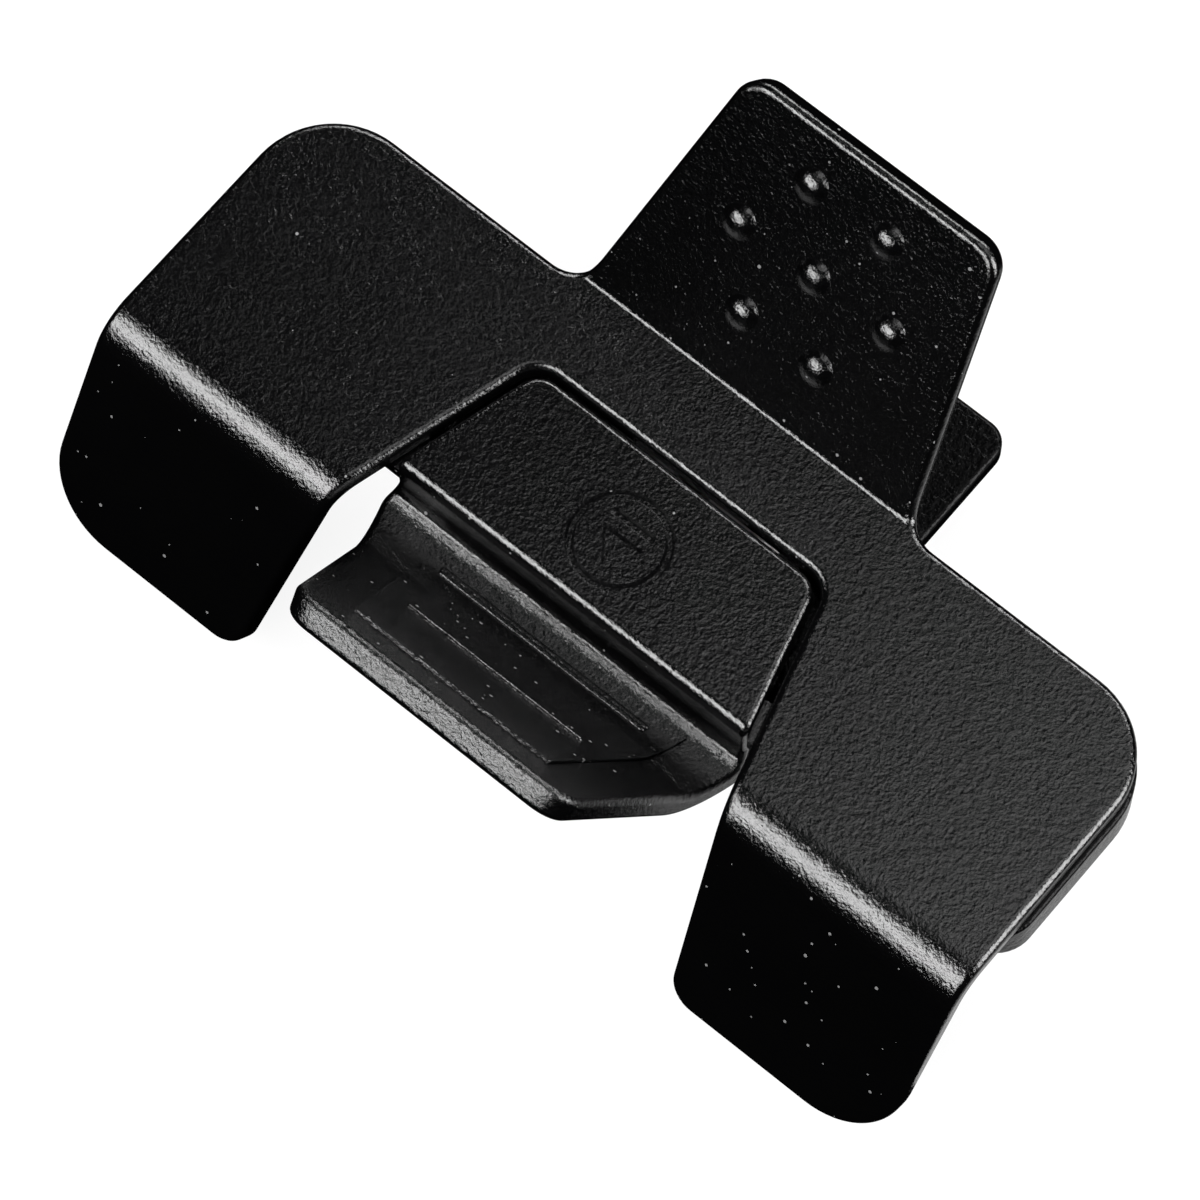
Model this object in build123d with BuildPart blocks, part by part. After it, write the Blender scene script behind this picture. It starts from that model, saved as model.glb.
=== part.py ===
from build123d import *
import math
import os

# Single-lever cam cleat. A wide cover plate with two front wings and an up-turned
# rear tab sits on a moulded base. A thumb lever fills the notch in the cover and
# carries a toothed cam that grips a line against a toothed jaw in the base channel.
#
# Frame: +X across the cleat, -Y to the front (wings and thumb lip), +Z up.
# Origin: centre of the four mounting inserts, on the underside of the deck pad.
# All lengths are millimetres and all angles are degrees.

# ---- overall sizes ----
cover_width = 100.0
cover_top_z = 26.0
cover_thickness = 2.5
cover_edge_radius = 0.75

# ---- cover plate ----
band_rear_y = 6.7
band_corner_radius = 8.7
front_bend_y = -24.0
front_bend_inner_radius = 3.0
wing_angle = 63.0
wing_length = 24.8
wing_outer_corner_radius = 8.0
wing_inner_corner_radius = 3.0
tab_bend_y = 7.25
tab_bend_inner_radius = 0.8
tab_angle = 50.8
tab_length = 27.6
tab_root_half_width = 19.2
tab_end_half_width = 14.6
tab_root_fillet = 4.0
tab_corner_radius = 3.1
notch_rear_y = -1.6
notch_rear_half_width = 16.9
notch_side_slope = 0.275
notch_corner_radius = 3.0
bump_pitch = 8.6
bump_radius = 1.8
bump_height = 0.9
bump_centre_along_tab = 14.6

# ---- hinge ----
pivot_y = -8.25
pivot_drop = 8.0
pin_radius = 2.0
pin_clearance = 0.05

# ---- thumb lever ----
lever_clearance = 0.55
lever_side_extra = 0.15
lever_sink = 0.2
lever_wall = 2.8
lever_front_y = -17.65
lever_front_radius = 1.2
wall_foot_radius = 1.8
lever_inner_radius = 0.8
scoop_depth = 6.3
scoop_corner_y = -22.9
scoop_angle = 56.5
scoop_length = 24.06
scoop_radius = 5.8
lip_half_width = 15.0
lip_corner_radius = 3.0
lever_edge_radius = 0.7
panel_corner_radius = 2.6
web_inner_x = 6.5
web_thickness = 3.4
barrel_wall = 0.4
web_shoulder_y = 4.0
web_low_outline = ((8.6, 0.0), (8.6, -4.0), (6.0, -5.2), (2.0, -4.8), (-2.5, -3.0))
lug_half_span = 22.6
lug_root_x = 17.0
lug_length = 4.1
lug_depth = 1.8
lug_front_inset = 0.45
stop_gap = 0.1
seam = 0.1

# ---- thumb grip pad ----
grip_inset = 5.4
grip_pocket_depth = 0.5
grip_thickness = 0.85
grip_clearance = 0.1
grip_end_margin = 4.46
rib_radius = 0.35
rib_sink = 0.05
rib_margin = 3.0
rib_pair_turns = (14.4, 18.4)
rib_rise = 9.65

# ---- engraved mark ----
mark_depth = 0.45
mark_draft = 30.0
mark_radius = 5.0
mark_line = 0.9
mark_centre_y = -10.5
mark_arrow = ((-2.4, 0.6), (2.4, 0.6), (0, -2.6))
mark_bar_y = 2.0
mark_bar_length = 4.8

# ---- base ----
pad_thickness = 1.0
foot_margin = 3.5
foot_length = 22.5
foot_height = 10.0
foot_corner_radius = 3.0
channel_half_width = 13.5
floor_top_z = 7.0
cheek_width = 8.0
ear_wall = 2.2
arm_thickness = 4.6
arm_front_y = -18.25
arm_overhang = 0.45
arm_edge_radius = 0.4
arm_rear_inset = 0.3
arm_corner_radius = 4.0
arm_inner_x = 27.0
arm_step_y = -12.7
gusset_thickness = 3.0
gusset_clearance = 0.7
gusset_ys = (-7.0, 4.4)
tongue_half_width = 16.8
tongue_end_y = 26.95
tongue_thickness = 2.6
tongue_corner_radius = 2.5
tongue_edge_radius = 0.5

# ---- cam and lower jaw ----
cam_half_width = 6.4
cam_hub_wall = 1.85
cam_back = ((6.5, 2.4), (13.6, 0.2), (14.2, -2.5))
cam_belly_root = 1.0
cam_tip = (13.4, -8.2)
cam_belly = (7.0, -7.3)
cam_tooth_pitch = 1.5
cam_tooth_depth = 0.8
cam_tooth_count = 6
cam_pin_offset = (5.0, -2.6)
cam_pin_radius = 1.25
jaw_half_width = 7.0
jaw_front_y = -4.9
jaw_clearance = 0.1
jaw_length = 16.0
jaw_thickness = 2.5
jaw_proud = 1.0
jaw_tooth_pitch = 1.5
jaw_tooth_depth = 0.7
jaw_tooth_count = 5
jaw_screw_inset = 2.0

# ---- return spring ----
spring_offset = 10.0
spring_radius = 2.4
spring_wire = 0.7
spring_turns = 5.0
spring_seat_radius = 3.0
spring_seat_depth = 3.0

# ---- line guides ----
guide_thickness = 1.0
guide_half_width = 9.0
guide_bend_radius = 0.6
front_guide_length = 6.1
front_guide_drop = 4.0
front_guide_screw_inset = 3.7
rear_guide_start_y = 11.6
rear_guide_end_y = 24.2
rear_guide_corner_radius = 1.5
rear_rivet_inset = 6.0
guide_screw_x = 6.0
guide_clearance = 0.1
rivet_head_height = 0.7

# ---- fasteners ----
mount_inset_x = 5.0
mount_spacing_y = 14.0
mount_bore_radius = 1.65
mount_insert_radius = 2.8
mount_insert_length = 8.0
boss_x = 34.0
boss_ys = (-12.0, 0.5)
boss_radius = 3.2
boss_clearance = 0.15
boss_recess = 0.1
cover_insert_radius = 2.3
cover_insert_length = 4.6
cover_screw_radius = 1.5
cover_head_radius = 2.8
cover_head_height = 2.0
washer_radius = 5.0
washer_thickness = 1.0
small_screw_radius = 1.25
small_head_radius = 1.9
small_head_height = 1.0
small_screw_length = 4.6
screw_clearance = 0.05
cover_screw_reach = 3.8
bush_wall = 0.85
bush_flange_overhang = 0.7
bush_flange_thickness = 0.6
spacer_wall = 1.6
spacer_gap = 0.1
drive_radius = 0.9
drive_depth = 0.9

# ---- worked out from the sizes above ----
half_width = cover_width / 2
cover_under_z = cover_top_z - cover_thickness
pivot_z = cover_top_z - pivot_drop
scoop_floor_z = cover_top_z - scoop_depth
wing_run_y = wing_length * math.cos(math.radians(wing_angle))
wing_drop_z = wing_length * math.sin(math.radians(wing_angle))
tab_run_y = tab_length * math.cos(math.radians(tab_angle))
tab_rise_z = tab_length * math.sin(math.radians(tab_angle))
lever_top_z = cover_top_z - lever_sink
lever_under_z = lever_top_z - lever_wall
lever_rear_y = notch_rear_y - lever_clearance
scoop_run_y = scoop_length * math.cos(math.radians(scoop_angle))
scoop_rise_z = scoop_length * math.sin(math.radians(scoop_angle))
lip_y = scoop_corner_y - scoop_run_y
lip_z = scoop_floor_z + scoop_rise_z
web_outer_x = web_inner_x + web_thickness
base_under_z = pad_thickness
foot_top_z = base_under_z + foot_height
foot_half_length = foot_length / 2
cheek_outer_x = channel_half_width + cheek_width
foot_half_width = cheek_outer_x + foot_margin
ear_radius = pin_radius + ear_wall
bush_radius = pin_radius + pin_clearance + bush_wall
bush_flange_radius = bush_radius + bush_flange_overhang
barrel_radius = bush_radius + barrel_wall
spacer_radius = pin_radius + spacer_wall
cam_hub_radius = pin_radius + pin_clearance + cam_hub_wall
gusset_reach = boss_x - washer_radius - gusset_clearance - cheek_outer_x
mount_spacing_x = 2 * (channel_half_width + mount_inset_x)
base_rear_y = band_rear_y - arm_rear_inset
arm_under_z = cover_under_z - arm_thickness
jaw_top_z = floor_top_z + jaw_proud
jaw_under_z = jaw_top_z - jaw_thickness
jaw_rear_y = jaw_front_y + jaw_length
jaw_screw_ys = (jaw_front_y + jaw_screw_inset, jaw_rear_y - jaw_screw_inset)
boss_points = [(side * boss_x, y) for side in (-1, 1) for y in boss_ys]
mount_points = [
    (side * mount_spacing_x / 2, end * mount_spacing_y / 2)
    for side in (-1, 1)
    for end in (-1, 1)
]
lever_wide_y = lever_front_y - lever_front_radius
lip_end_y = lip_y - lever_wall
spring_y = pivot_y + spring_offset
spring_seat_z = pivot_z - spring_seat_depth
pivot_plane = Plane((0, pivot_y, pivot_z), x_dir=(0, 1, 0), z_dir=(1, 0, 0))
front_guide_screw_y = front_guide_screw_inset - foot_half_length
rear_rivet_y = rear_guide_end_y - rear_rivet_inset


def notch_half_width(y):
    # Half-width of the cover's notch, which opens towards the front.
    return notch_rear_half_width + notch_side_slope * (notch_rear_y - y)


def lever_half_width(y):
    # Half-width of the lever's panel: the notch less a running gap on each side.
    side_gap = lever_clearance * math.hypot(1.0, notch_side_slope) + lever_side_extra
    return notch_half_width(y) - side_gap


def bent_sheet(points, thickness, upper_radii, lower_radii):
    # Closed outline of a bent sheet whose upper face follows the points towards -Y.
    path = [Vector(*point) for point in points]
    ways = [(after - before).normalized() for before, after in zip(path, path[1:])]
    normals = [Vector(-way.Y, way.X) for way in ways]
    lower = [path[0] + normals[0] * thickness]
    for corner, before, after in zip(path[1:], normals, normals[1:]):
        middle = (before + after).normalized()
        lower.append(corner + middle * (thickness / middle.dot(before)))
    lower.append(path[-1] + normals[-1] * thickness)
    with BuildSketch(mode=Mode.PRIVATE) as outline:
        with BuildLine():
            Polyline(*path, *reversed(lower), close=True)
        make_face()
        for corners, radii in ((path[1:-1], upper_radii), (lower[1:-1], lower_radii)):
            for corner, radius in zip(corners, radii):
                fillet(outline.vertices().sort_by_distance(corner)[0], radius)
    return Plane.YZ * outline.sketch


def sharp_edges(solid, least_angle=25.0):
    # Edges whose two faces meet at a real corner, leaving out smooth seams.
    found = ShapeList()
    faces = [(face, face.edges()) for face in solid.faces()]
    for edge in solid.edges():
        beside = [face for face, edges in faces if any(edge.is_same(other) for other in edges)]
        if len(beside) == 2:
            middle = edge.position_at(0.5)
            if beside[0].normal_at(middle).get_angle(beside[1].normal_at(middle)) > least_angle:
                found.append(edge)
    return found


def write_part(builder, label):
    builder.part.label = label
    export_step(builder.part, f"parts/{label}.step")


os.makedirs("parts", exist_ok=True)

# ---- cover plate: tab up at the rear, flat band, wings down at the front ----
tab_plane = Plane(
    origin=(0, tab_bend_y, cover_top_z),
    x_dir=(1, 0, 0),
    z_dir=(0, -math.sin(math.radians(tab_angle)), math.cos(math.radians(tab_angle))),
)
cover_section = bent_sheet(
    [
        (tab_bend_y + tab_run_y, cover_top_z + tab_rise_z),
        (tab_bend_y, cover_top_z),
        (front_bend_y, cover_top_z),
        (front_bend_y - wing_run_y, cover_top_z - wing_drop_z),
    ],
    cover_thickness,
    (tab_bend_inner_radius, front_bend_inner_radius + cover_thickness),
    (tab_bend_inner_radius + cover_thickness, front_bend_inner_radius),
)
wing_tip_y = front_bend_y - wing_run_y - cover_thickness
wing_tip_z = cover_top_z - wing_drop_z
short_edge = 1.2 * cover_thickness
tab_tip_y = tab_bend_y + tab_run_y + cover_thickness
tab_taper = (tab_root_half_width - tab_end_half_width) / tab_run_y
row_step = bump_pitch * math.sin(math.radians(60))
bump_points = [(place * bump_pitch, 0.0) for place in (-1, 0, 1)]
bump_points += [(side * bump_pitch / 2, row * row_step) for side in (-1, 1) for row in (-1, 1)]
dome_radius = (bump_radius**2 + bump_height**2) / (2 * bump_height)

with BuildPart() as cover:
    extrude(cover_section, amount=half_width, both=True)
    with BuildSketch(Plane.XY) as cover_plan:
        with BuildLine():
            Polyline(
                (0, notch_rear_y),
                (notch_rear_half_width, notch_rear_y),
                (notch_half_width(wing_tip_y), wing_tip_y),
                (half_width, wing_tip_y),
                (half_width, band_rear_y),
                (tab_root_half_width, band_rear_y),
                (tab_root_half_width - tab_taper * (tab_tip_y - band_rear_y), tab_tip_y),
                (0, tab_tip_y),
                close=True,
            )
        make_face()
        for corner, radius in (
            ((half_width, band_rear_y), band_corner_radius),
            ((tab_root_half_width, band_rear_y), tab_root_fillet),
            ((notch_rear_half_width, notch_rear_y), notch_corner_radius),
        ):
            fillet(cover_plan.vertices().sort_by_distance(corner)[0], radius)
        mirror(about=Plane.YZ)
    extrude(amount=cover_top_z + tab_length, mode=Mode.INTERSECT)
    for corner, radius in (
        ((half_width, wing_tip_y, wing_tip_z), wing_outer_corner_radius),
        ((notch_half_width(wing_tip_y), wing_tip_y, wing_tip_z), wing_inner_corner_radius),
        ((tab_end_half_width, tab_tip_y, cover_top_z + tab_rise_z), tab_corner_radius),
    ):
        for side in (-1, 1):
            short_edges = cover.edges().filter_by(lambda edge: edge.length < short_edge)
            place = (side * corner[0], corner[1], corner[2])
            fillet(short_edges.sort_by_distance(place)[0], radius)
    fillet(sharp_edges(cover.part), cover_edge_radius)


# ---- threaded inserts, washers and screws that hold the cover from below ----
boss_end_z = arm_under_z + boss_recess
with BuildPart() as cover_bosses:
    with BuildSketch(Plane.XY.offset(boss_end_z)):
        with Locations(*boss_points):
            Circle(boss_radius)
    extrude(amount=cover_under_z + cover_thickness / 2 - boss_end_z)
with BuildPart() as insert_holes:
    with BuildSketch(Plane.XY.offset(boss_end_z)):
        with Locations(*boss_points):
            Circle(cover_insert_radius)
    extrude(amount=cover_insert_length)
with BuildPart() as finished_cover:
    add(cover.part)
    add(cover_bosses.part)
    add(insert_holes.part, mode=Mode.SUBTRACT)
    for along, rise in bump_points:
        spot = tab_plane.from_local_coords((along, bump_centre_along_tab + rise, bump_height - dome_radius))
        with Locations(spot):
            Sphere(dome_radius)
write_part(finished_cover, "cover")


def turned(profile, places, drive_z=None, drive_side=1):
    # Turned pieces, one at each place. The profile is radius against height,
    # and drive_z is the face that holds a hexagon socket.
    with BuildPart(mode=Mode.PRIVATE) as blank:
        with BuildSketch(Plane.XZ):
            with BuildLine():
                Polyline(*profile, close=True)
            make_face()
        revolve(axis=Axis.Z)
        if drive_z is not None:
            with BuildSketch(Plane.XY.offset(drive_z)):
                RegularPolygon(drive_radius, 6)
            extrude(amount=-drive_side * drive_depth, mode=Mode.SUBTRACT)
    with BuildPart(mode=Mode.PRIVATE) as group:
        with Locations(*places):
            add(blank.part)
    return group


def tube_profile(inner, outer, low, high):
    return [(inner, low), (outer, low), (outer, high), (inner, high)]


def flat_head_profile(top_z, grow=0.0):
    # Countersunk screw with its head flush at top_z.
    shank = small_screw_radius + grow
    neck_z = top_z - small_head_height
    tip_z = top_z - small_screw_length
    return [(0, top_z), (small_head_radius + grow, top_z), (shank, neck_z), (shank, tip_z), (0, tip_z)]


head_top_z = arm_under_z - washer_thickness
head_end_z = head_top_z - cover_head_height
cover_inserts = turned(
    tube_profile(cover_screw_radius, cover_insert_radius, boss_end_z, boss_end_z + cover_insert_length),
    boss_points,
)
write_part(cover_inserts, "cover_inserts")
cover_washers = turned(
    tube_profile(cover_screw_radius + screw_clearance, washer_radius, head_top_z, arm_under_z),
    boss_points,
)
write_part(cover_washers, "cover_washers")
cover_screws = turned(
    [
        (0, head_end_z),
        (cover_head_radius, head_end_z),
        (cover_head_radius, head_top_z),
        (cover_screw_radius, head_top_z),
        (cover_screw_radius, boss_end_z + cover_screw_reach),
        (0, boss_end_z + cover_screw_reach),
    ],
    boss_points,
    drive_z=head_end_z,
    drive_side=-1,
)
write_part(cover_screws, "cover_screws")


# ---- base: foot, channel, cheeks, arms under the cover and rear tongue ----
def guide_section(upper_radius):
    start = (front_guide_length - foot_half_length, floor_top_z)
    corner = (-foot_half_length, floor_top_z)
    end = (-foot_half_length, floor_top_z - front_guide_drop)
    return bent_sheet([start, corner, end], guide_thickness, (upper_radius,), (guide_bend_radius,))


jaw_screw_points = [(0, y) for y in jaw_screw_ys]
front_screw_points = [(side * guide_screw_x, front_guide_screw_y) for side in (-1, 1)]
rivet_points = [(side * guide_screw_x, rear_rivet_y) for side in (-1, 1)]
jaw_middle_y = (jaw_front_y + jaw_rear_y) / 2
rear_guide_middle_y = (rear_guide_start_y + rear_guide_end_y) / 2
rear_guide_length = rear_guide_end_y - rear_guide_start_y
tongue_under_z = floor_top_z - tongue_thickness
tongue_middle_z = floor_top_z - tongue_thickness / 2
cheek_front_y = pivot_y - ear_radius
foot_step = -foot_half_length - cheek_front_y

with BuildPart() as base:
    with BuildSketch(Plane.XY.offset(base_under_z)):
        RectangleRounded(2 * foot_half_width, foot_length, foot_corner_radius)
    extrude(amount=foot_height)
    fillet(base.faces().sort_by(Axis.Z)[-1].edges(), tongue_edge_radius)
    with BuildSketch(Plane.XY.offset(tongue_under_z)) as tongue_plan:
        with BuildLine():
            Polyline(
                (-tongue_half_width, 0),
                (tongue_half_width, 0),
                (tongue_half_width, tongue_end_y),
                (-tongue_half_width, tongue_end_y),
                close=True,
            )
        make_face()
        fillet(tongue_plan.vertices().group_by(Axis.Y)[-1], tongue_corner_radius)
    tongue = extrude(amount=tongue_thickness, mode=Mode.PRIVATE)
    rim = tongue.edges().filter_by(lambda edge: edge.center().Y > foot_half_length)
    rim = rim.filter_by(lambda edge: abs(edge.center().Z - tongue_middle_z) > tongue_thickness / 4)
    add(tongue.fillet(tongue_edge_radius, rim))
    with BuildSketch(Plane.XY.offset(floor_top_z)):
        Rectangle(2 * channel_half_width, 2 * foot_length)
    extrude(amount=foot_height, mode=Mode.SUBTRACT)
    for side in (-1, 1):
        with BuildSketch(Plane.YZ.offset(side * channel_half_width)):
            with BuildLine():
                Polyline(
                    (-foot_half_length, foot_top_z - foot_step),
                    (cheek_front_y, foot_top_z),
                    (cheek_front_y, pivot_z),
                    (pivot_y, pivot_z),
                    (pivot_y, pivot_z + ear_radius),
                    (notch_rear_y + seam, pivot_z + ear_radius),
                    (notch_rear_y + seam, cover_under_z),
                    (base_rear_y, cover_under_z),
                    (base_rear_y, foot_top_z - foot_step),
                    close=True,
                )
            make_face()
            with Locations((pivot_y, pivot_z)):
                Circle(ear_radius)
        extrude(amount=side * cheek_width)
        with BuildSketch(Plane.XY.offset(arm_under_z)) as arm_plan:
            outer_x = half_width + arm_overhang
            with BuildLine():
                Polyline(
                    (side * (cheek_outer_x - seam), base_rear_y),
                    (side * outer_x, base_rear_y),
                    (side * outer_x, arm_front_y),
                    (side * arm_inner_x, arm_front_y),
                    (side * arm_inner_x, arm_step_y),
                    (side * (cheek_outer_x - seam), arm_step_y),
                    close=True,
                )
            make_face()
            for corner, radius in (
                ((side * outer_x, base_rear_y), band_corner_radius),
                ((side * outer_x, arm_front_y), arm_corner_radius),
                ((side * arm_inner_x, arm_front_y), foot_corner_radius),
            ):
                fillet(arm_plan.vertices().sort_by_distance(corner)[0], radius)
        arm = extrude(amount=arm_thickness, mode=Mode.PRIVATE)
        arm_top_edges = arm.faces().sort_by(Axis.Z)[-1].edges()
        outer_edges = arm_top_edges.filter_by(lambda edge: abs(edge.center().X) > arm_inner_x - seam)
        add(arm.fillet(arm_edge_radius, outer_edges))
        for y in gusset_ys:
            with BuildSketch(Plane.XZ.offset(-y - gusset_thickness / 2)):
                with BuildLine():
                    Polyline(
                        (side * (cheek_outer_x - seam), foot_top_z - seam),
                        (side * (cheek_outer_x - seam), arm_under_z + seam),
                        (side * (cheek_outer_x + gusset_reach), arm_under_z + seam),
                        close=True,
                    )
                make_face()
            extrude(amount=gusset_thickness)
    with Locations(Location((0, pivot_y, pivot_z), (0, 90, 0))):
        Cylinder(pin_radius, 2 * half_width, mode=Mode.SUBTRACT)
    with BuildSketch(Plane.XY.offset(arm_under_z)):
        with Locations(*boss_points):
            Circle(boss_radius + boss_clearance)
    extrude(amount=arm_thickness, mode=Mode.SUBTRACT)
    with BuildSketch(Plane.XY.offset(base_under_z)):
        with Locations(*mount_points):
            Circle(mount_insert_radius)
    extrude(amount=mount_insert_length, mode=Mode.SUBTRACT)
    with BuildSketch(Plane.XY.offset(jaw_under_z)):
        with Locations((0, jaw_middle_y)):
            Rectangle(2 * (jaw_half_width + jaw_clearance), jaw_length + 2 * jaw_clearance)
    extrude(amount=jaw_thickness, mode=Mode.SUBTRACT)
    with BuildSketch(Plane.XY.offset(jaw_top_z - small_screw_length)):
        with Locations(*jaw_screw_points):
            Circle(small_screw_radius)
    extrude(amount=small_screw_length, mode=Mode.SUBTRACT)
    extrude(guide_section(seam), amount=guide_half_width + guide_clearance, both=True, mode=Mode.SUBTRACT)
    with BuildSketch(Plane.XY.offset(floor_top_z - small_screw_length)):
        with Locations(*front_screw_points):
            Circle(small_screw_radius)
    extrude(amount=small_screw_length, mode=Mode.SUBTRACT)
    with BuildSketch(Plane.XY.offset(floor_top_z - guide_thickness)):
        with Locations((0, rear_guide_middle_y)):
            RectangleRounded(
                2 * (guide_half_width + guide_clearance),
                rear_guide_length + 2 * guide_clearance,
                rear_guide_corner_radius + guide_clearance,
            )
    extrude(amount=guide_thickness, mode=Mode.SUBTRACT)
    with BuildSketch(Plane.XY.offset(tongue_under_z)):
        with Locations(*rivet_points):
            Circle(small_screw_radius)
    extrude(amount=tongue_thickness, mode=Mode.SUBTRACT)
write_part(base, "base")

with BuildPart() as deck_pad:
    with BuildSketch():
        RectangleRounded(2 * foot_half_width, foot_length, foot_corner_radius)
        with Locations(*mount_points):
            Circle(mount_insert_radius, mode=Mode.SUBTRACT)
    extrude(amount=pad_thickness)
write_part(deck_pad, "deck_pad")

mount_inserts = turned(
    tube_profile(mount_bore_radius, mount_insert_radius, base_under_z, base_under_z + mount_insert_length),
    mount_points,
)
write_part(mount_inserts, "mount_inserts")

# ---- lower jaw: toothed plate let into the channel floor ----
with BuildPart() as lower_jaw:
    with BuildSketch(Plane.XY.offset(jaw_under_z)):
        with Locations((0, jaw_middle_y)):
            Rectangle(2 * jaw_half_width, jaw_length)
    extrude(amount=jaw_thickness)
    with BuildSketch(Plane.YZ):
        with Locations((jaw_middle_y, jaw_top_z)):
            with GridLocations(jaw_tooth_pitch, 0, jaw_tooth_count, 1):
                Polygon(
                    (-jaw_tooth_pitch / 2, 0),
                    (0, -jaw_tooth_depth),
                    (jaw_tooth_pitch / 2, 0),
                    align=None,
                )
    extrude(amount=jaw_half_width, both=True, mode=Mode.SUBTRACT)
    add(turned(flat_head_profile(jaw_top_z, screw_clearance), jaw_screw_points).part, mode=Mode.SUBTRACT)
write_part(lower_jaw, "lower_jaw")
jaw_screws = turned(flat_head_profile(jaw_top_z), jaw_screw_points, drive_z=jaw_top_z)
write_part(jaw_screws, "jaw_screws")

# ---- stainless line guides at both ends of the channel ----
with BuildPart() as front_guide:
    extrude(guide_section(guide_bend_radius + guide_thickness), amount=guide_half_width, both=True)
    front_screw_seats = turned(flat_head_profile(floor_top_z, screw_clearance), front_screw_points)
    add(front_screw_seats.part, mode=Mode.SUBTRACT)
write_part(front_guide, "front_guide")
front_guide_screws = turned(flat_head_profile(floor_top_z), front_screw_points, drive_z=floor_top_z)
write_part(front_guide_screws, "front_guide_screws")

rivet_profile = [
    (0, floor_top_z),
    (small_head_radius, floor_top_z),
    (small_screw_radius, floor_top_z - guide_thickness),
    (small_screw_radius, tongue_under_z),
    (small_head_radius, tongue_under_z),
    (small_head_radius, tongue_under_z - rivet_head_height),
    (0, tongue_under_z - rivet_head_height),
]
with BuildPart() as rear_guide:
    with BuildSketch(Plane.XY.offset(floor_top_z - guide_thickness)):
        with Locations((0, rear_guide_middle_y)):
            RectangleRounded(2 * guide_half_width, rear_guide_length, rear_guide_corner_radius)
    extrude(amount=guide_thickness)
    rivet_seat = [*rivet_profile[:3], (0, floor_top_z - guide_thickness)]
    add(turned(rivet_seat, rivet_points).part, mode=Mode.SUBTRACT)
write_part(rear_guide, "rear_guide")
rear_guide_rivets = turned(rivet_profile, rivet_points)
write_part(rear_guide_rivets, "rear_guide_rivets")

# ---- hinge pin and the spacers that centre the lever on it ----
with BuildPart() as hinge_pin:
    with BuildSketch(pivot_plane):
        Circle(pin_radius)
    extrude(amount=cheek_outer_x, both=True)
write_part(hinge_pin, "hinge_pin")

flange_x = web_outer_x + bush_flange_thickness
with BuildPart() as pivot_spacers:
    for side in (-1, 1):
        with BuildSketch(pivot_plane.offset(side * (flange_x + spacer_gap))):
            Circle(spacer_radius)
            Circle(pin_radius, mode=Mode.SUBTRACT)
        extrude(amount=side * (channel_half_width - flange_x - spacer_gap))
write_part(pivot_spacers, "pivot_spacers")


# ---- thumb lever: flush panel, scoop rising to a lip, and two webs to the hinge ----
def scoop_half_width(y):
    wide = lever_half_width(lever_wide_y)
    return wide + (lip_half_width - wide) * (lever_wide_y - y) / (lever_wide_y - lip_end_y)


def scoop_layer(depth, thickness, end_margin, start_y):
    # Sheet that follows the scoop at a depth below its upper face.
    shift = depth * math.tan(math.radians(scoop_angle / 2))
    reach = scoop_length - end_margin + shift
    corner = (scoop_corner_y - shift, scoop_floor_z - depth)
    way = (-math.cos(math.radians(scoop_angle)), math.sin(math.radians(scoop_angle)))
    end = (corner[0] + way[0] * reach, corner[1] + way[1] * reach)
    radius = scoop_radius + depth
    return bent_sheet([(start_y, corner[1]), corner, end], thickness, (radius,), (radius + thickness,))


def scoop_plan(inset):
    # Half-width of the scoop less an inset, as a four-cornered outline.
    rear = scoop_half_width(lever_wide_y) - inset
    front = scoop_half_width(lip_end_y) - inset
    with BuildSketch(mode=Mode.PRIVATE) as outline:
        with BuildLine():
            Polyline(
                (-rear, lever_wide_y),
                (rear, lever_wide_y),
                (front, lip_end_y),
                (-front, lip_end_y),
                close=True,
            )
        make_face()
    return outline.sketch


lever_section = bent_sheet(
    [
        (lever_rear_y, lever_top_z),
        (lever_front_y, lever_top_z),
        (lever_front_y, scoop_floor_z),
        (scoop_corner_y, scoop_floor_z),
        (lip_y, lip_z),
    ],
    lever_wall,
    (lever_front_radius, wall_foot_radius, scoop_radius),
    (lever_inner_radius, lever_front_radius, scoop_radius + lever_wall),
)
grip_start_y = lever_front_y - wall_foot_radius
short_lip_edge = 1.3 * lever_wall
web_front_y = lever_front_y + lever_wall / 2 - pivot_y
web_top_z = lever_under_z + lever_wall / 2 - pivot_z
with BuildPart() as grip_pocket:
    extrude(scoop_layer(0, grip_pocket_depth, grip_end_margin, grip_start_y), amount=half_width, both=True)
    extrude(scoop_plan(grip_inset), amount=2 * cover_top_z, mode=Mode.INTERSECT)

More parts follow.
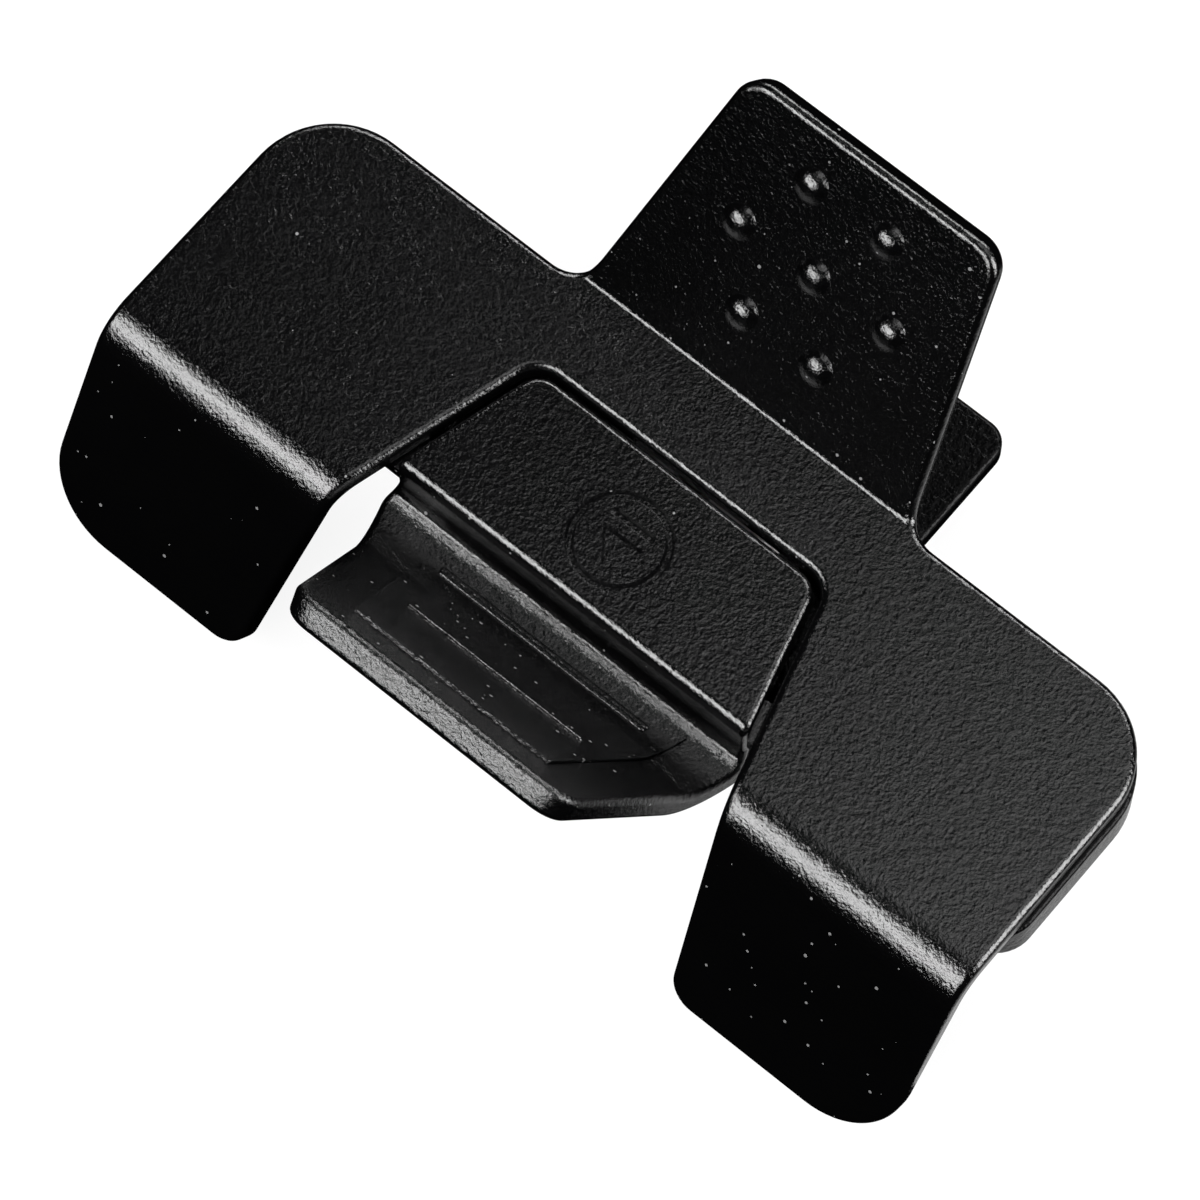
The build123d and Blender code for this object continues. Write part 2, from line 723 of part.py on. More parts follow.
with BuildPart() as lever:
    extrude(lever_section, amount=half_width, both=True)
    with BuildSketch() as lever_plan:
        with BuildLine():
            Polyline(
                (0, lever_rear_y),
                (lever_half_width(lever_rear_y), lever_rear_y),
                (lever_half_width(lever_wide_y), lever_wide_y),
                (lip_half_width, lip_end_y),
                (0, lip_end_y),
                close=True,
            )
        make_face()
        for corner, radius in (
            ((lever_half_width(lever_rear_y), lever_rear_y), panel_corner_radius),
            ((lever_half_width(lever_wide_y), lever_wide_y), panel_corner_radius),
        ):
            fillet(lever_plan.vertices().sort_by_distance(corner)[0], radius)
        mirror(about=Plane.YZ)
    extrude(amount=2 * cover_top_z, mode=Mode.INTERSECT)
    lip_edges = lever.edges().filter_by(lambda edge: edge.length < short_lip_edge)
    fillet(lip_edges.filter_by(lambda edge: edge.center().Z > lip_z - lever_wall), lip_corner_radius)
    fillet(sharp_edges(lever.part), lever_edge_radius)
    for side in (-1, 1):
        with BuildSketch(pivot_plane.offset(side * web_inner_x)):
            with BuildLine():
                Polyline(
                    (web_front_y, web_top_z),
                    (web_shoulder_y, web_top_z),
                    (web_shoulder_y, lever_under_z - pivot_z),
                    *web_low_outline,
                    (web_front_y, scoop_floor_z - lever_wall / 2 - pivot_z),
                    close=True,
                )
            make_face()
            Circle(barrel_radius)
        extrude(amount=side * web_thickness)
        lug_middle_x = side * (lug_root_x + lug_half_span) / 2
        lug_top_z = cover_under_z - stop_gap
        with BuildSketch(Plane.XY.offset(lug_top_z)):
            with Locations((lug_middle_x, lever_front_y + lug_front_inset + lug_length / 2)):
                Rectangle(lug_half_span - lug_root_x, lug_length)
        extrude(amount=-lug_depth)
    with BuildSketch(pivot_plane):
        Circle(bush_radius)
    extrude(amount=web_outer_x, both=True, mode=Mode.SUBTRACT)
    with BuildSketch(pivot_plane):
        with Locations(cam_pin_offset):
            Circle(cam_pin_radius)
    extrude(amount=web_outer_x, both=True, mode=Mode.SUBTRACT)
    add(grip_pocket.part, mode=Mode.SUBTRACT)
    with BuildSketch(Plane.XY.offset(lever_top_z)):
        with Locations((0, mark_centre_y)):
            Circle(mark_radius)
            Circle(mark_radius - mark_line, mode=Mode.SUBTRACT)
            Polygon(*mark_arrow, align=None)
            with Locations((0, mark_bar_y)):
                Rectangle(mark_bar_length, mark_line)
    extrude(amount=-mark_depth, taper=mark_draft, mode=Mode.SUBTRACT)
write_part(lever, "lever")

# ---- soft grip pad with two cross ribs, seated in the scoop ----
pad_depth = grip_pocket_depth - grip_thickness
arc_centre_y = scoop_corner_y + scoop_radius * math.tan(math.radians(scoop_angle / 2))
arc_centre_z = scoop_floor_z + scoop_radius
slope = math.radians(scoop_angle)
rib_depth = pad_depth + rib_sink
rib_reach = scoop_radius + rib_depth
rib_spots = [
    (
        arc_centre_y - rib_reach * math.sin(math.radians(turn)),
        arc_centre_z - rib_reach * math.cos(math.radians(turn)),
    )
    for turn in rib_pair_turns
]
rib_spots.append(
    (
        scoop_corner_y - rib_rise * math.cos(slope) - rib_depth * math.sin(slope),
        scoop_floor_z + rib_rise * math.sin(slope) - rib_depth * math.cos(slope),
    )
)
with BuildPart() as grip_pad:
    pad_end_margin = grip_end_margin + grip_clearance
    pad_layer = scoop_layer(pad_depth, grip_thickness, pad_end_margin, grip_start_y - grip_clearance)
    extrude(pad_layer, amount=half_width, both=True)
    extrude(scoop_plan(grip_inset + grip_clearance), amount=2 * cover_top_z, mode=Mode.INTERSECT)
    for y, z in rib_spots:
        rib_half_length = scoop_half_width(y) - grip_inset - rib_margin
        with BuildSketch(Plane((0, y, z), x_dir=(0, 1, 0), z_dir=(1, 0, 0))):
            Circle(rib_radius)
        extrude(amount=rib_half_length, both=True)
        with Locations((-rib_half_length, y, z), (rib_half_length, y, z)):
            Sphere(rib_radius)
write_part(grip_pad, "grip_pad")

# ---- bushes, cam and cam pin, which turn with the lever ----
with BuildPart() as lever_bushes:
    for side in (-1, 1):
        with BuildSketch(pivot_plane.offset(side * web_inner_x)):
            Circle(bush_radius)
        extrude(amount=side * web_thickness)
        with BuildSketch(pivot_plane.offset(side * web_outer_x)):
            Circle(bush_flange_radius)
        extrude(amount=side * bush_flange_thickness)
    with BuildSketch(pivot_plane):
        Circle(pin_radius + pin_clearance)
    extrude(amount=half_width, both=True, mode=Mode.SUBTRACT)
write_part(lever_bushes, "lever_bushes")

with BuildPart() as cam:
    with BuildSketch(pivot_plane):
        with BuildLine():
            Polyline((0, cam_hub_radius), *cam_back, cam_tip)
            belly = ThreePointArc(cam_tip, cam_belly, (cam_belly_root, seam - cam_hub_radius))
            Line(belly @ 1, (0, cam_hub_radius))
        make_face()
        Circle(cam_hub_radius)
    extrude(amount=cam_half_width, both=True)
    with BuildSketch(pivot_plane):
        for tooth in range(cam_tooth_count):
            place = (tooth + 0.5) * cam_tooth_pitch / belly.length
            with Locations(Location(tuple(belly @ place), belly.tangent_angle_at(place))):
                RegularPolygon(cam_tooth_depth, 4)
    extrude(amount=cam_half_width, both=True, mode=Mode.SUBTRACT)
    with BuildSketch(pivot_plane):
        Circle(pin_radius + pin_clearance)
        with Locations(cam_pin_offset):
            Circle(cam_pin_radius)
    extrude(amount=cam_half_width, both=True, mode=Mode.SUBTRACT)
    with BuildSketch(Plane.XY.offset(spring_seat_z)):
        with Locations((0, spring_y)):
            Circle(spring_seat_radius)
    extrude(amount=cover_top_z - spring_seat_z, mode=Mode.SUBTRACT)
write_part(cam, "cam")

with BuildPart() as cam_pin:
    with BuildSketch(pivot_plane):
        with Locations(cam_pin_offset):
            Circle(cam_pin_radius)
    extrude(amount=web_outer_x, both=True)
write_part(cam_pin, "cam_pin")

# ---- return spring between the cover's underside and the cam's seat ----
wire_radius = spring_wire / 2
coil_height = cover_under_z - spring_seat_z - spring_wire
coil_radius = spring_radius - wire_radius
with BuildPart() as return_spring:
    with BuildLine(Plane((0, spring_y, spring_seat_z + wire_radius))) as coil:
        Helix(pitch=coil_height / spring_turns, height=coil_height, radius=coil_radius)
    with BuildSketch(Plane(coil.line @ 0, z_dir=coil.line % 0)):
        Circle(wire_radius)
    sweep()
write_part(return_spring, "return_spring")
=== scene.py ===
import math

import bpy
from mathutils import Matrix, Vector


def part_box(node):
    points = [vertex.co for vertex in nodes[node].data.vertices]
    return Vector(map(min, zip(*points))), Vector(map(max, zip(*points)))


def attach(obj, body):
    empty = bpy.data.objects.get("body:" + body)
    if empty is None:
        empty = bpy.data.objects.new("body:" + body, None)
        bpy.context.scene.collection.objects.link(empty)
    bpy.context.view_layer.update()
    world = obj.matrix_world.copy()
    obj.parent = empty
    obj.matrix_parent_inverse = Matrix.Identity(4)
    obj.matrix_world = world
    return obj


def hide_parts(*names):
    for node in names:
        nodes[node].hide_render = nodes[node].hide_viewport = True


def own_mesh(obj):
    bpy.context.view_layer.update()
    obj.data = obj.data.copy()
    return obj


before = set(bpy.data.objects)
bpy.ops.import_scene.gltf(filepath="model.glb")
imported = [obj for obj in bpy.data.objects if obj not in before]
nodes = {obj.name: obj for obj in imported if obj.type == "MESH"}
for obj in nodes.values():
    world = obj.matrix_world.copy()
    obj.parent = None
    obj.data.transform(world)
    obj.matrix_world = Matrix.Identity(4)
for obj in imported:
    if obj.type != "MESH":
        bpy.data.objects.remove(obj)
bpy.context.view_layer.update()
print("cam cleat: frame loaded with", len(nodes), "pieces")


# The camera looks steeply down from the front right, through a long lens.
cameraView = {
    "azimuth": 39.75,
    "elevation": 68.65,
    "distance": 0.57959,
    "lens": 194.5,
    "sensor": 36.0,
    "target": (0.002305, -0.016025, 0.026),
}


def lookFrom(azimuth, elevation):
    turn, rise = math.radians(azimuth), math.radians(elevation)
    return Vector((math.sin(turn) * math.cos(rise), -math.cos(turn) * math.cos(rise), math.sin(rise)))


def placeCamera(view):
    data = bpy.data.cameras.new("studioCamera")
    data.sensor_width = view["sensor"]
    data.lens = view["lens"]
    camera = bpy.data.objects.new("studioCamera", data)
    bpy.context.scene.collection.objects.link(camera)
    away = lookFrom(view["azimuth"], view["elevation"])
    camera.location = Vector(view["target"]) + away * view["distance"]
    camera.rotation_euler = away.to_track_quat("Z", "Y").to_euler()
    bpy.context.scene.camera = camera
    print("camera placed")


# Each light is a soft box on a sphere round the cleat: direction, size and power.
lightBoxes = {
    "frontBox": {"azimuth": -18.0, "elevation": 46.0, "distance": 0.70, "size": (0.75, 0.28), "power": 9.5},
    "rearBox": {"azimuth": 196.0, "elevation": 37.0, "distance": 0.75, "size": (0.80, 0.12), "power": 5.0},
    "topBox": {"azimuth": 152.0, "elevation": 74.0, "distance": 0.83, "size": (0.36, 0.50), "power": 1.3},
    "sideBox": {"azimuth": 112.0, "elevation": 26.0, "distance": 0.70, "size": (0.36, 0.55), "power": 8.0},
}
# A glowing card lies on the floor beside the cleat and lights its right-hand faces from below.
cardBox = {"place": (0.062, 0.016, 0.0008), "size": (0.076, 0.085), "power": 0.014}
worldLook = {"colour": (1.0, 1.0, 1.0), "strength": 0.006}


def addLamp(name, box):
    data = bpy.data.lights.new(name, "AREA")
    data.shape = "RECTANGLE"
    data.size, data.size_y = box["size"]
    data.energy = box["power"]
    lamp = bpy.data.objects.new(name, data)
    bpy.context.scene.collection.objects.link(lamp)
    lamp.visible_camera = False
    return lamp


def placeLights(boxes):
    centre = Vector(cameraView["target"])
    for name, box in boxes.items():
        lamp = addLamp(name, box)
        away = lookFrom(box["azimuth"], box["elevation"])
        lamp.location = centre + away * box["distance"]
        lamp.rotation_euler = away.to_track_quat("Z", "Y").to_euler()
    card = addLamp("floorCard", cardBox)
    card.location = cardBox["place"]
    card.rotation_euler = (math.pi, 0.0, 0.0)
    world = bpy.data.worlds.new("studioWorld")
    world.use_nodes = True
    backdrop = world.node_tree.nodes["Background"]
    backdrop.inputs["Color"].default_value = (*worldLook["colour"], 1.0)
    backdrop.inputs["Strength"].default_value = worldLook["strength"]
    bpy.context.scene.world = world
    bpy.context.scene.view_settings.view_transform = "Standard"
    print("lights placed:", ", ".join(boxes))


floorLook = {"size": 6.0, "pale": 0.96, "shade": 0.001, "glow": 1.0, "glowShare": 0.9}


def makeFloor(look):
    bpy.ops.object.select_all(action="DESELECT")
    bpy.ops.mesh.primitive_plane_add(size=look["size"], location=(0, 0, 0))
    floor = bpy.context.active_object
    floor.name = "studioFloor"
    material = bpy.data.materials.new("studioFloor")
    material.use_nodes = True
    tree = material.node_tree
    tree.nodes.clear()
    output = tree.nodes.new("ShaderNodeOutputMaterial")
    pale = tree.nodes.new("ShaderNodeBsdfDiffuse")
    pale.inputs["Color"].default_value = (look["pale"],) * 3 + (1.0,)
    dim = tree.nodes.new("ShaderNodeBsdfDiffuse")
    dim.inputs["Color"].default_value = (look["shade"],) * 3 + (1.0,)
    glow = tree.nodes.new("ShaderNodeEmission")
    glow.inputs["Strength"].default_value = look["glow"]
    seen = tree.nodes.new("ShaderNodeMixShader")
    seen.inputs["Fac"].default_value = look["glowShare"]
    tree.links.new(pale.outputs["BSDF"], seen.inputs[1])
    tree.links.new(glow.outputs["Emission"], seen.inputs[2])
    path = tree.nodes.new("ShaderNodeLightPath")
    both = tree.nodes.new("ShaderNodeMixShader")
    tree.links.new(path.outputs["Is Camera Ray"], both.inputs["Fac"])
    tree.links.new(dim.outputs["BSDF"], both.inputs[1])
    tree.links.new(seen.outputs["Shader"], both.inputs[2])
    tree.links.new(both.outputs["Shader"], output.inputs["Surface"])
    floor.data.materials.append(material)
    print("floor laid")


# Shader node groups: each gives masks or heights that several finishes share.
def startGroup(name, inputs, outputs):
    group = bpy.data.node_groups.new(name, "ShaderNodeTree")
    for label, value in inputs.items():
        socket = group.interface.new_socket(name=label, in_out="INPUT", socket_type="NodeSocketFloat")
        socket.default_value = value
    for label in outputs:
        group.interface.new_socket(name=label, in_out="OUTPUT", socket_type="NodeSocketFloat")
    return group, group.nodes.new("NodeGroupInput"), group.nodes.new("NodeGroupOutput")


def maths(tree, kind, first, second=None, third=None):
    # A Math node with a number or a socket at each place.
    node = tree.nodes.new("ShaderNodeMath")
    node.operation = kind
    for place, value in enumerate((first, second, third)):
        if value is None:
            continue
        if isinstance(value, (int, float)):
            node.inputs[place].default_value = value
        else:
            tree.links.new(value, node.inputs[place])
    return node.outputs["Value"]


def noise(tree, vector, scale, detail, roughness=0.5):
    node = tree.nodes.new("ShaderNodeTexNoise")
    node.inputs["Detail"].default_value = detail
    node.inputs["Roughness"].default_value = roughness
    tree.links.new(vector, node.inputs["Vector"])
    if isinstance(scale, (int, float)):
        node.inputs["Scale"].default_value = scale
    else:
        tree.links.new(scale, node.inputs["Scale"])
    return node.outputs["Fac"]


def objectPlace(tree, stretch=(1.0, 1.0, 1.0)):
    place = tree.nodes.new("ShaderNodeTexCoord")
    mapping = tree.nodes.new("ShaderNodeMapping")
    mapping.inputs["Scale"].default_value = stretch
    tree.links.new(place.outputs["Object"], mapping.inputs["Vector"])
    return mapping.outputs["Vector"]


# The numbers that shape the mould grain, the rubbed edges, the dust with its painted glints and the drawn
# lines.
grainShape = {
    "cellShare": 0.55, "slowShare": 0.16, "cellWeight": 0.6, "patchScale": 90.0,
    "pit": 0.36, "crest": 0.60,
}
wearShape = {"samples": 4, "breakScale": 700.0}
dustAndGlintShape = {"patchScale": 160.0, "patchGain": 2.0, "levelFrom": 0.8}
lineShape = {"stretch": (0.06, 1.0, 1.0), "broadShare": 0.2}


def makeMouldGrain():
    # Spark-eroded mould texture: fine pits on a slow swell. Scale is in grains per metre.
    inputs = {"Scale": 2600.0, "Swell": 0.35}
    group, given, result = startGroup("mouldGrain", inputs, ("Height", "Mottle", "Crests"))
    place = objectPlace(group)
    fine = noise(group, place, given.outputs["Scale"], 3.0, 0.6)
    cells = group.nodes.new("ShaderNodeTexVoronoi")
    cells.feature = "SMOOTH_F1"
    group.links.new(place, cells.inputs["Vector"])
    cellScale = maths(group, "MULTIPLY", given.outputs["Scale"], grainShape["cellShare"])
    group.links.new(cellScale, cells.inputs["Scale"])
    slowScale = maths(group, "MULTIPLY", given.outputs["Scale"], grainShape["slowShare"])
    slow = noise(group, place, slowScale, 2.0)
    pits = maths(group, "MULTIPLY_ADD", cells.outputs["Distance"], grainShape["cellWeight"], fine)
    height = maths(group, "MULTIPLY_ADD", slow, given.outputs["Swell"], pits)
    group.links.new(height, result.inputs["Height"])
    patches = noise(group, place, grainShape["patchScale"], 4.0, 0.6)
    group.links.new(patches, result.inputs["Mottle"])
    # Crests is low in the pits and high on the grain's tops, which are rubbed smoother.
    crests = group.nodes.new("ShaderNodeMapRange")
    crests.inputs["From Min"].default_value = grainShape["pit"]
    crests.inputs["From Max"].default_value = grainShape["crest"]
    group.links.new(fine, crests.inputs["Value"])
    group.links.new(crests.outputs["Result"], result.inputs["Crests"])
    return group


def makeEdgeWear():
    # Where the rounded edges have been rubbed. Radius is in metres.
    group, given, result = startGroup("edgeWear", {"Radius": 0.0005, "Gain": 6.0}, ("Mask",))
    place = objectPlace(group)
    rounded = group.nodes.new("ShaderNodeBevel")
    rounded.samples = wearShape["samples"]
    group.links.new(given.outputs["Radius"], rounded.inputs["Radius"])
    surface = group.nodes.new("ShaderNodeNewGeometry")
    dot = group.nodes.new("ShaderNodeVectorMath")
    dot.operation = "DOT_PRODUCT"
    group.links.new(rounded.outputs["Normal"], dot.inputs[0])
    group.links.new(surface.outputs["Normal"], dot.inputs[1])
    turned = maths(group, "SUBTRACT", 1.0, dot.outputs["Value"])
    broken = maths(group, "MULTIPLY", turned, noise(group, place, wearShape["breakScale"], 3.0))
    mask = maths(group, "MULTIPLY", broken, given.outputs["Gain"])
    clamp = group.nodes.new("ShaderNodeClamp")
    group.links.new(mask, clamp.inputs["Value"])
    group.links.new(clamp.outputs["Result"], result.inputs["Mask"])
    return group


def makeSpecks():
    # Sparse bright specks: dust, and on the black plastics also painted glints of the grain. Size is a
    # share of a cell, and Share is how many cells have a speck.
    # The steep faces keep every speck, and Level is the share of them kept on the level faces.
    inputs = {"Scale": 1100.0, "Size": 0.16, "Share": 0.10, "Level": 0.1}
    group, given, result = startGroup("specks", inputs, ("Mask",))
    place = objectPlace(group)
    cells = group.nodes.new("ShaderNodeTexVoronoi")
    group.links.new(place, cells.inputs["Vector"])
    group.links.new(given.outputs["Scale"], cells.inputs["Scale"])
    pick = group.nodes.new("ShaderNodeSeparateColor")
    group.links.new(cells.outputs["Color"], pick.inputs["Color"])
    patches = noise(group, place, dustAndGlintShape["patchScale"], 3.0)
    uneven = maths(group, "MULTIPLY", patches, dustAndGlintShape["patchGain"])
    share = maths(group, "MULTIPLY", given.outputs["Share"], uneven)
    surface = group.nodes.new("ShaderNodeNewGeometry")
    facing = group.nodes.new("ShaderNodeSeparateXYZ")
    group.links.new(surface.outputs["Normal"], facing.inputs["Vector"])
    steep = maths(group, "LESS_THAN", facing.outputs["Z"], dustAndGlintShape["levelFrom"])
    kept = maths(group, "MULTIPLY", share, maths(group, "MAXIMUM", steep, given.outputs["Level"]))
    chosen = maths(group, "LESS_THAN", pick.outputs["Red"], kept)
    size = maths(group, "MULTIPLY", given.outputs["Size"], pick.outputs["Green"])
    near = maths(group, "LESS_THAN", cells.outputs["Distance"], size)
    group.links.new(maths(group, "MULTIPLY", chosen, near), result.inputs["Mask"])
    return group


def makeBeyondPlane():
    # One where a point lies past a sloping plane: Across and Up give its direction, Start its distance.
    inputs = {"Across": 0.0, "Up": 1.0, "Start": 0.04, "Fade": 0.0002}
    group, given, result = startGroup("beyondPlane", inputs, ("Mask",))
    place = group.nodes.new("ShaderNodeSeparateXYZ")
    group.links.new(objectPlace(group), place.inputs["Vector"])
    rise = maths(group, "MULTIPLY", place.outputs["Z"], given.outputs["Up"])
    reach = maths(group, "MULTIPLY_ADD", place.outputs["Y"], given.outputs["Across"], rise)
    over = maths(group, "SUBTRACT", reach, given.outputs["Start"])
    past = maths(group, "DIVIDE", over, given.outputs["Fade"])
    clamp = group.nodes.new("ShaderNodeClamp")
    group.links.new(past, clamp.inputs["Value"])
    group.links.new(clamp.outputs["Result"], result.inputs["Mask"])
    return group


def makeBrushed():
    # Fine drawn lines along X, for rolled and turned metal.
    group, given, result = startGroup("brushed", {"Scale": 900.0}, ("Height", "Streak"))
    place = objectPlace(group, lineShape["stretch"])
    lines = noise(group, place, given.outputs["Scale"], 5.0, 0.7)
    group.links.new(lines, result.inputs["Height"])
    broadScale = maths(group, "MULTIPLY", given.outputs["Scale"], lineShape["broadShare"])
    broad = noise(group, place, broadScale, 3.0)
    group.links.new(broad, result.inputs["Streak"])
    return group


groups = {
    "mouldGrain": makeMouldGrain(),
    "edgeWear": makeEdgeWear(),
    "specks": makeSpecks(),
    "beyondPlane": makeBeyondPlane(),
    "brushed": makeBrushed(),
}
print("shader groups made:", ", ".join(groups))


def useGroup(tree, name, **values):
    node = tree.nodes.new("ShaderNodeGroup")
    node.node_tree = groups[name]
    for label, value in values.items():
        node.inputs[label].default_value = value
    return node.outputs


def blendColour(tree, mask, first, second):
    node = tree.nodes.new("ShaderNodeMix")
    node.data_type = "RGBA"
    tree.links.new(mask, node.inputs["Factor"])
    for place, colour in ((6, first), (7, second)):
        if isinstance(colour, tuple):
            node.inputs[place].default_value = (*colour, 1.0)
        else:
            tree.links.new(colour, node.inputs[place])
    return node.outputs[2]


def startMaterial(name, look):
    material = bpy.data.materials.new(name)
    material.use_nodes = True
    tree = material.node_tree
    shader = tree.nodes["Principled BSDF"]
    shader.inputs["Specular IOR Level"].default_value = look["specular"]
    return material, tree, shader


def addBump(tree, shader, height, depth):
    bump = tree.nodes.new("ShaderNodeBump")
    bump.inputs["Distance"].default_value = depth
    tree.links.new(height, bump.inputs["Height"])
    tree.links.new(bump.outputs["Normal"], shader.inputs["Normal"])


def addSpecks(tree, look):
    return useGroup(
        tree, "specks", Scale=look["speckScale"], Size=look["speckSize"], Share=look["speckShare"]
    )


def makePlastic(name, look):
    # Moulded plastic or rubber: grain, rubbed edges, and a little dust with painted glints in the base
    # colour.
    material, tree, shader = startMaterial(name, look)
    grain = useGroup(tree, "mouldGrain", Scale=look["grainScale"], Swell=look["swell"])
    wear = useGroup(tree, "edgeWear", Radius=look["wearRadius"], Gain=look["wearGain"])
    dustAndGlints = addSpecks(tree, look)
    base = blendColour(tree, grain["Mottle"], look["colour"], look["mottleColour"])
    rubbed = blendColour(tree, wear["Mask"], base, look["wornColour"])
    # Painted glints: the bright specks lighten the base colour where the grain's tops would catch the
    # lamps, and they also stand for dust.
    dustedAndGlinted = blendColour(tree, dustAndGlints["Mask"], rubbed, look["dustAndGlintColour"])
    tree.links.new(dustedAndGlinted, shader.inputs["Base Color"])
    rough = maths(tree, "MULTIPLY_ADD", grain["Mottle"], look["roughSwing"], look["roughness"])
    pits = maths(tree, "SUBTRACT", 1.0, grain["Crests"])
    rough = maths(tree, "MULTIPLY_ADD", pits, look["pitRoughness"], rough)
    height = grain["Height"]
    if "sandedFrom" in look:
        sanded = useGroup(tree, "beyondPlane", **look["sandedFrom"])["Mask"]
        rough = maths(tree, "MULTIPLY_ADD", sanded, look["sandedRoughness"], rough)
        deeper = maths(tree, "MULTIPLY_ADD", sanded, look["sandedGrain"], 1.0)
        height = maths(tree, "MULTIPLY", height, deeper)
    tree.links.new(rough, shader.inputs["Roughness"])
    addBump(tree, shader, height, look["grainDepth"])
    return material


def makeMetal(name, look):
    # Metal with drawn lines, handling marks and brighter edges.
    material, tree, shader = startMaterial(name, look)
    shader.inputs["Metallic"].default_value = 1.0
    lines = useGroup(tree, "brushed", Scale=look["lineScale"])
    wear = useGroup(tree, "edgeWear", Radius=look["wearRadius"], Gain=look["wearGain"])
    marks = addSpecks(tree, look)
    base = blendColour(tree, lines["Streak"], look["colour"], look["streakColour"])
    bright = blendColour(tree, wear["Mask"], base, look["wornColour"])
    marked = blendColour(tree, marks["Mask"], bright, look["markColour"])
    tree.links.new(marked, shader.inputs["Base Color"])
    swing = maths(tree, "MULTIPLY_ADD", lines["Streak"], look["roughSwing"], look["roughness"])
    tree.links.new(swing, shader.inputs["Roughness"])
    addBump(tree, shader, lines["Height"], look["lineDepth"])
    return material


# The bright speck colour is dust and painted glints: points of light put into the base colour where the
# grain would sparkle.
blackNylon = {
    "colour": (0.0006, 0.0006, 0.00065), "mottleColour": (0.0011, 0.0011, 0.0012),
    "wornColour": (0.004, 0.004, 0.0043), "dustAndGlintColour": (0.16, 0.16, 0.16),
    "specular": 0.58, "roughness": 0.070, "roughSwing": 0.04, "pitRoughness": 0.04,
    "grainScale": 3500.0, "grainDepth": 0.000052, "swell": 0.5,
    "wearRadius": 0.0004, "wearGain": 3.0,
    "speckScale": 1000.0, "speckSize": 0.19, "speckShare": 0.22,
}
# The scoop is sanded: its coarser grain starts just behind the grip pad.
padLowest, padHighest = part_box("grip_pad")
behindPad = 0.0014
sandedScoop = {
    "sandedFrom": {"Across": -1.0, "Up": 0.0, "Start": -padHighest.y - behindPad},
    "sandedRoughness": 0.06, "sandedGrain": 1.1,
}
plastics = {
    "coverBlack": blackNylon,
    "leverBlack": {**blackNylon, **sandedScoop, "grainDepth": 0.000045, "speckShare": 0.3},
    "baseBlack": {**blackNylon, "specular": 0.075, "roughness": 0.11, "grainScale": 2400.0,
                  "grainDepth": 0.000090},
    "gripRubber": {**blackNylon, "roughness": 0.10, "grainScale": 2900.0, "grainDepth": 0.000070,
                   "speckShare": 0.45},
    "deckRubber": {**blackNylon, "colour": (0.009, 0.009, 0.009), "mottleColour": (0.014, 0.014, 0.014),
                   "roughness": 0.75, "grainScale": 1500.0, "grainDepth": 0.000060},
    "acetal": {**blackNylon, "colour": (0.010, 0.010, 0.011), "roughness": 0.33},
    "nylonWhite": {**blackNylon, "colour": (0.72, 0.71, 0.67), "mottleColour": (0.62, 0.61, 0.57),
                   "wornColour": (0.80, 0.79, 0.76), "dustAndGlintColour": (0.35, 0.34, 0.32), "roughness": 0.38},
}
steel = {
    "specular": 0.5,
    "colour": (0.50, 0.50, 0.51), "streakColour": (0.62, 0.62, 0.63), "wornColour": (0.78, 0.78, 0.79),
    "markColour": (0.30, 0.30, 0.31), "roughness": 0.22, "roughSwing": 0.14, "lineScale": 2200.0,
    "lineDepth": 0.000006, "wearRadius": 0.0003, "wearGain": 4.0,
    "speckScale": 900.0, "speckSize": 0.12, "speckShare": 0.12,
}
metals = {
    "stainless": steel,
    "stainlessCast": {**steel, "roughness": 0.34, "lineScale": 3000.0, "lineDepth": 0.000020},
    "springSteel": {**steel, "colour": (0.40, 0.39, 0.38), "streakColour": (0.50, 0.48, 0.46)},
    "brass": {**steel, "colour": (0.62, 0.43, 0.16), "streakColour": (0.72, 0.53, 0.23),
              "wornColour": (0.86, 0.70, 0.38), "markColour": (0.33, 0.20, 0.07)},
}
finishes = {name: makePlastic(name, look) for name, look in plastics.items()}
finishes.update({name: makeMetal(name, look) for name, look in metals.items()})
print("finishes made:", ", ".join(finishes))

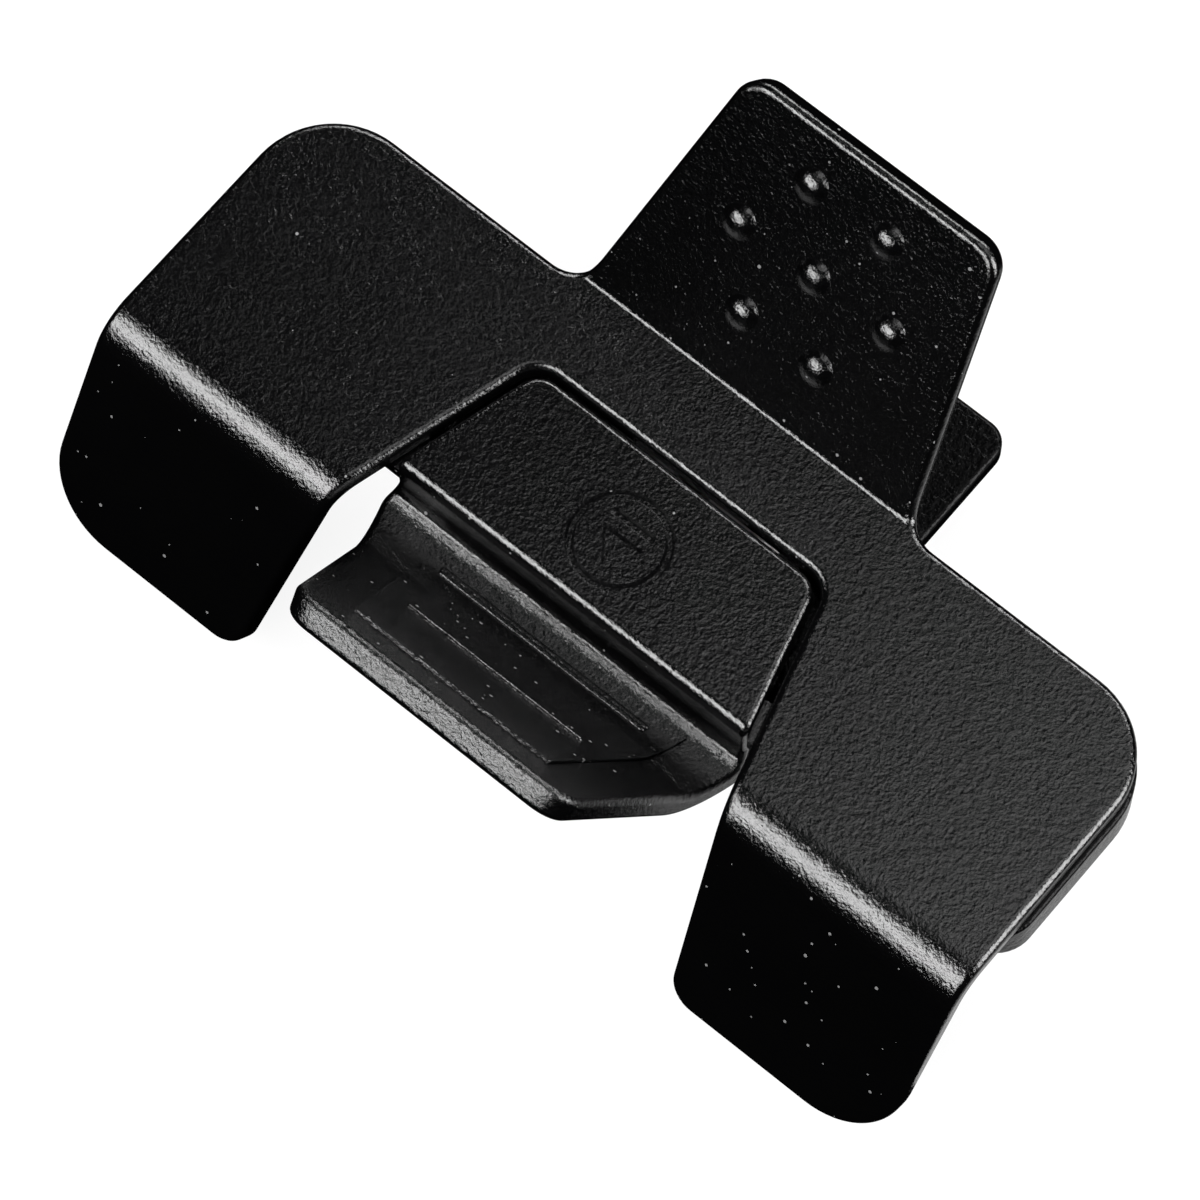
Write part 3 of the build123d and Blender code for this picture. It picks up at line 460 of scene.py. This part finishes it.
# Which finish each carried-over piece wears.
pieceFinish = {
    "cover": "coverBlack",
    "lever": "leverBlack",
    "base": "baseBlack",
    "grip_pad": "gripRubber",
    "deck_pad": "deckRubber",
    "cover_inserts": "brass",
    "cover_washers": "stainless",
    "cover_screws": "stainless",
    "mount_inserts": "brass",
    "lower_jaw": "stainlessCast",
    "jaw_screws": "stainless",
    "front_guide": "stainless",
    "front_guide_screws": "stainless",
    "rear_guide": "stainless",
    "rear_guide_rivets": "stainless",
    "hinge_pin": "stainless",
    "pivot_spacers": "nylonWhite",
    "lever_bushes": "acetal",
    "cam": "stainlessCast",
    "cam_pin": "stainless",
    "return_spring": "springSteel",
}
for name, finish in pieceFinish.items():
    slots = nodes[name].data.materials
    slots.clear()
    slots.append(finishes[finish])
print("finishes put on", len(pieceFinish), "pieces")

# The return spring is a coil between the cover's seat and the cam. In the cleat it shortens as the cam
# rises; here it is wound at one length and fixed to the frame.
coilLook = {"wire": 0.00035, "turns": 5, "steps": 28, "sides": 10, "smoothAngle": 40.0, "kept": 0.59}


def makeSpring(look):
    lowest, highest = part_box("return_spring")
    middle = (lowest + highest) / 2
    radius = (highest.x - lowest.x) / 2 - look["wire"]
    pitch = (highest.z - lowest.z - 2 * look["wire"]) / look["turns"]
    start = (middle.x + radius, middle.y, lowest.z + look["wire"])
    bpy.ops.object.select_all(action="DESELECT")
    upright = (math.pi / 2, 0, 0)
    bpy.ops.mesh.primitive_circle_add(
        vertices=look["sides"], radius=look["wire"], location=start, rotation=upright
    )
    spring = bpy.context.active_object
    spring.name = "return_spring_coil"
    bpy.context.scene.cursor.location = (middle.x, middle.y, lowest.z)
    bpy.ops.object.transform_apply(location=False, rotation=True, scale=True)
    bpy.ops.object.origin_set(type="ORIGIN_CURSOR")
    wind = spring.modifiers.new("wind", "SCREW")
    wind.axis = "Z"
    wind.screw_offset = pitch
    wind.iterations = look["turns"]
    wind.steps = look["steps"]
    wind.render_steps = look["steps"]
    bpy.ops.object.modifier_apply(modifier="wind")
    bpy.ops.object.mode_set(mode="EDIT")
    bpy.ops.mesh.select_all(action="SELECT")
    bpy.ops.mesh.fill_holes(sides=look["sides"])
    bpy.ops.mesh.select_all(action="SELECT")
    bpy.ops.mesh.normals_make_consistent(inside=False)
    bpy.ops.object.mode_set(mode="OBJECT")
    bpy.ops.object.transform_apply(location=True, rotation=True, scale=True)
    bpy.context.scene.cursor.location = (0, 0, 0)
    bpy.ops.object.shade_smooth_by_angle(angle=math.radians(look["smoothAngle"]))
    spring.data.materials.append(finishes["springSteel"])
    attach(spring, "frame")
    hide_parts("return_spring")
    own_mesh(spring)
    print("return spring wound")


makeSpring(coilLook)

makeFloor(floorLook)
placeLights(lightBoxes)
placeCamera(cameraView)
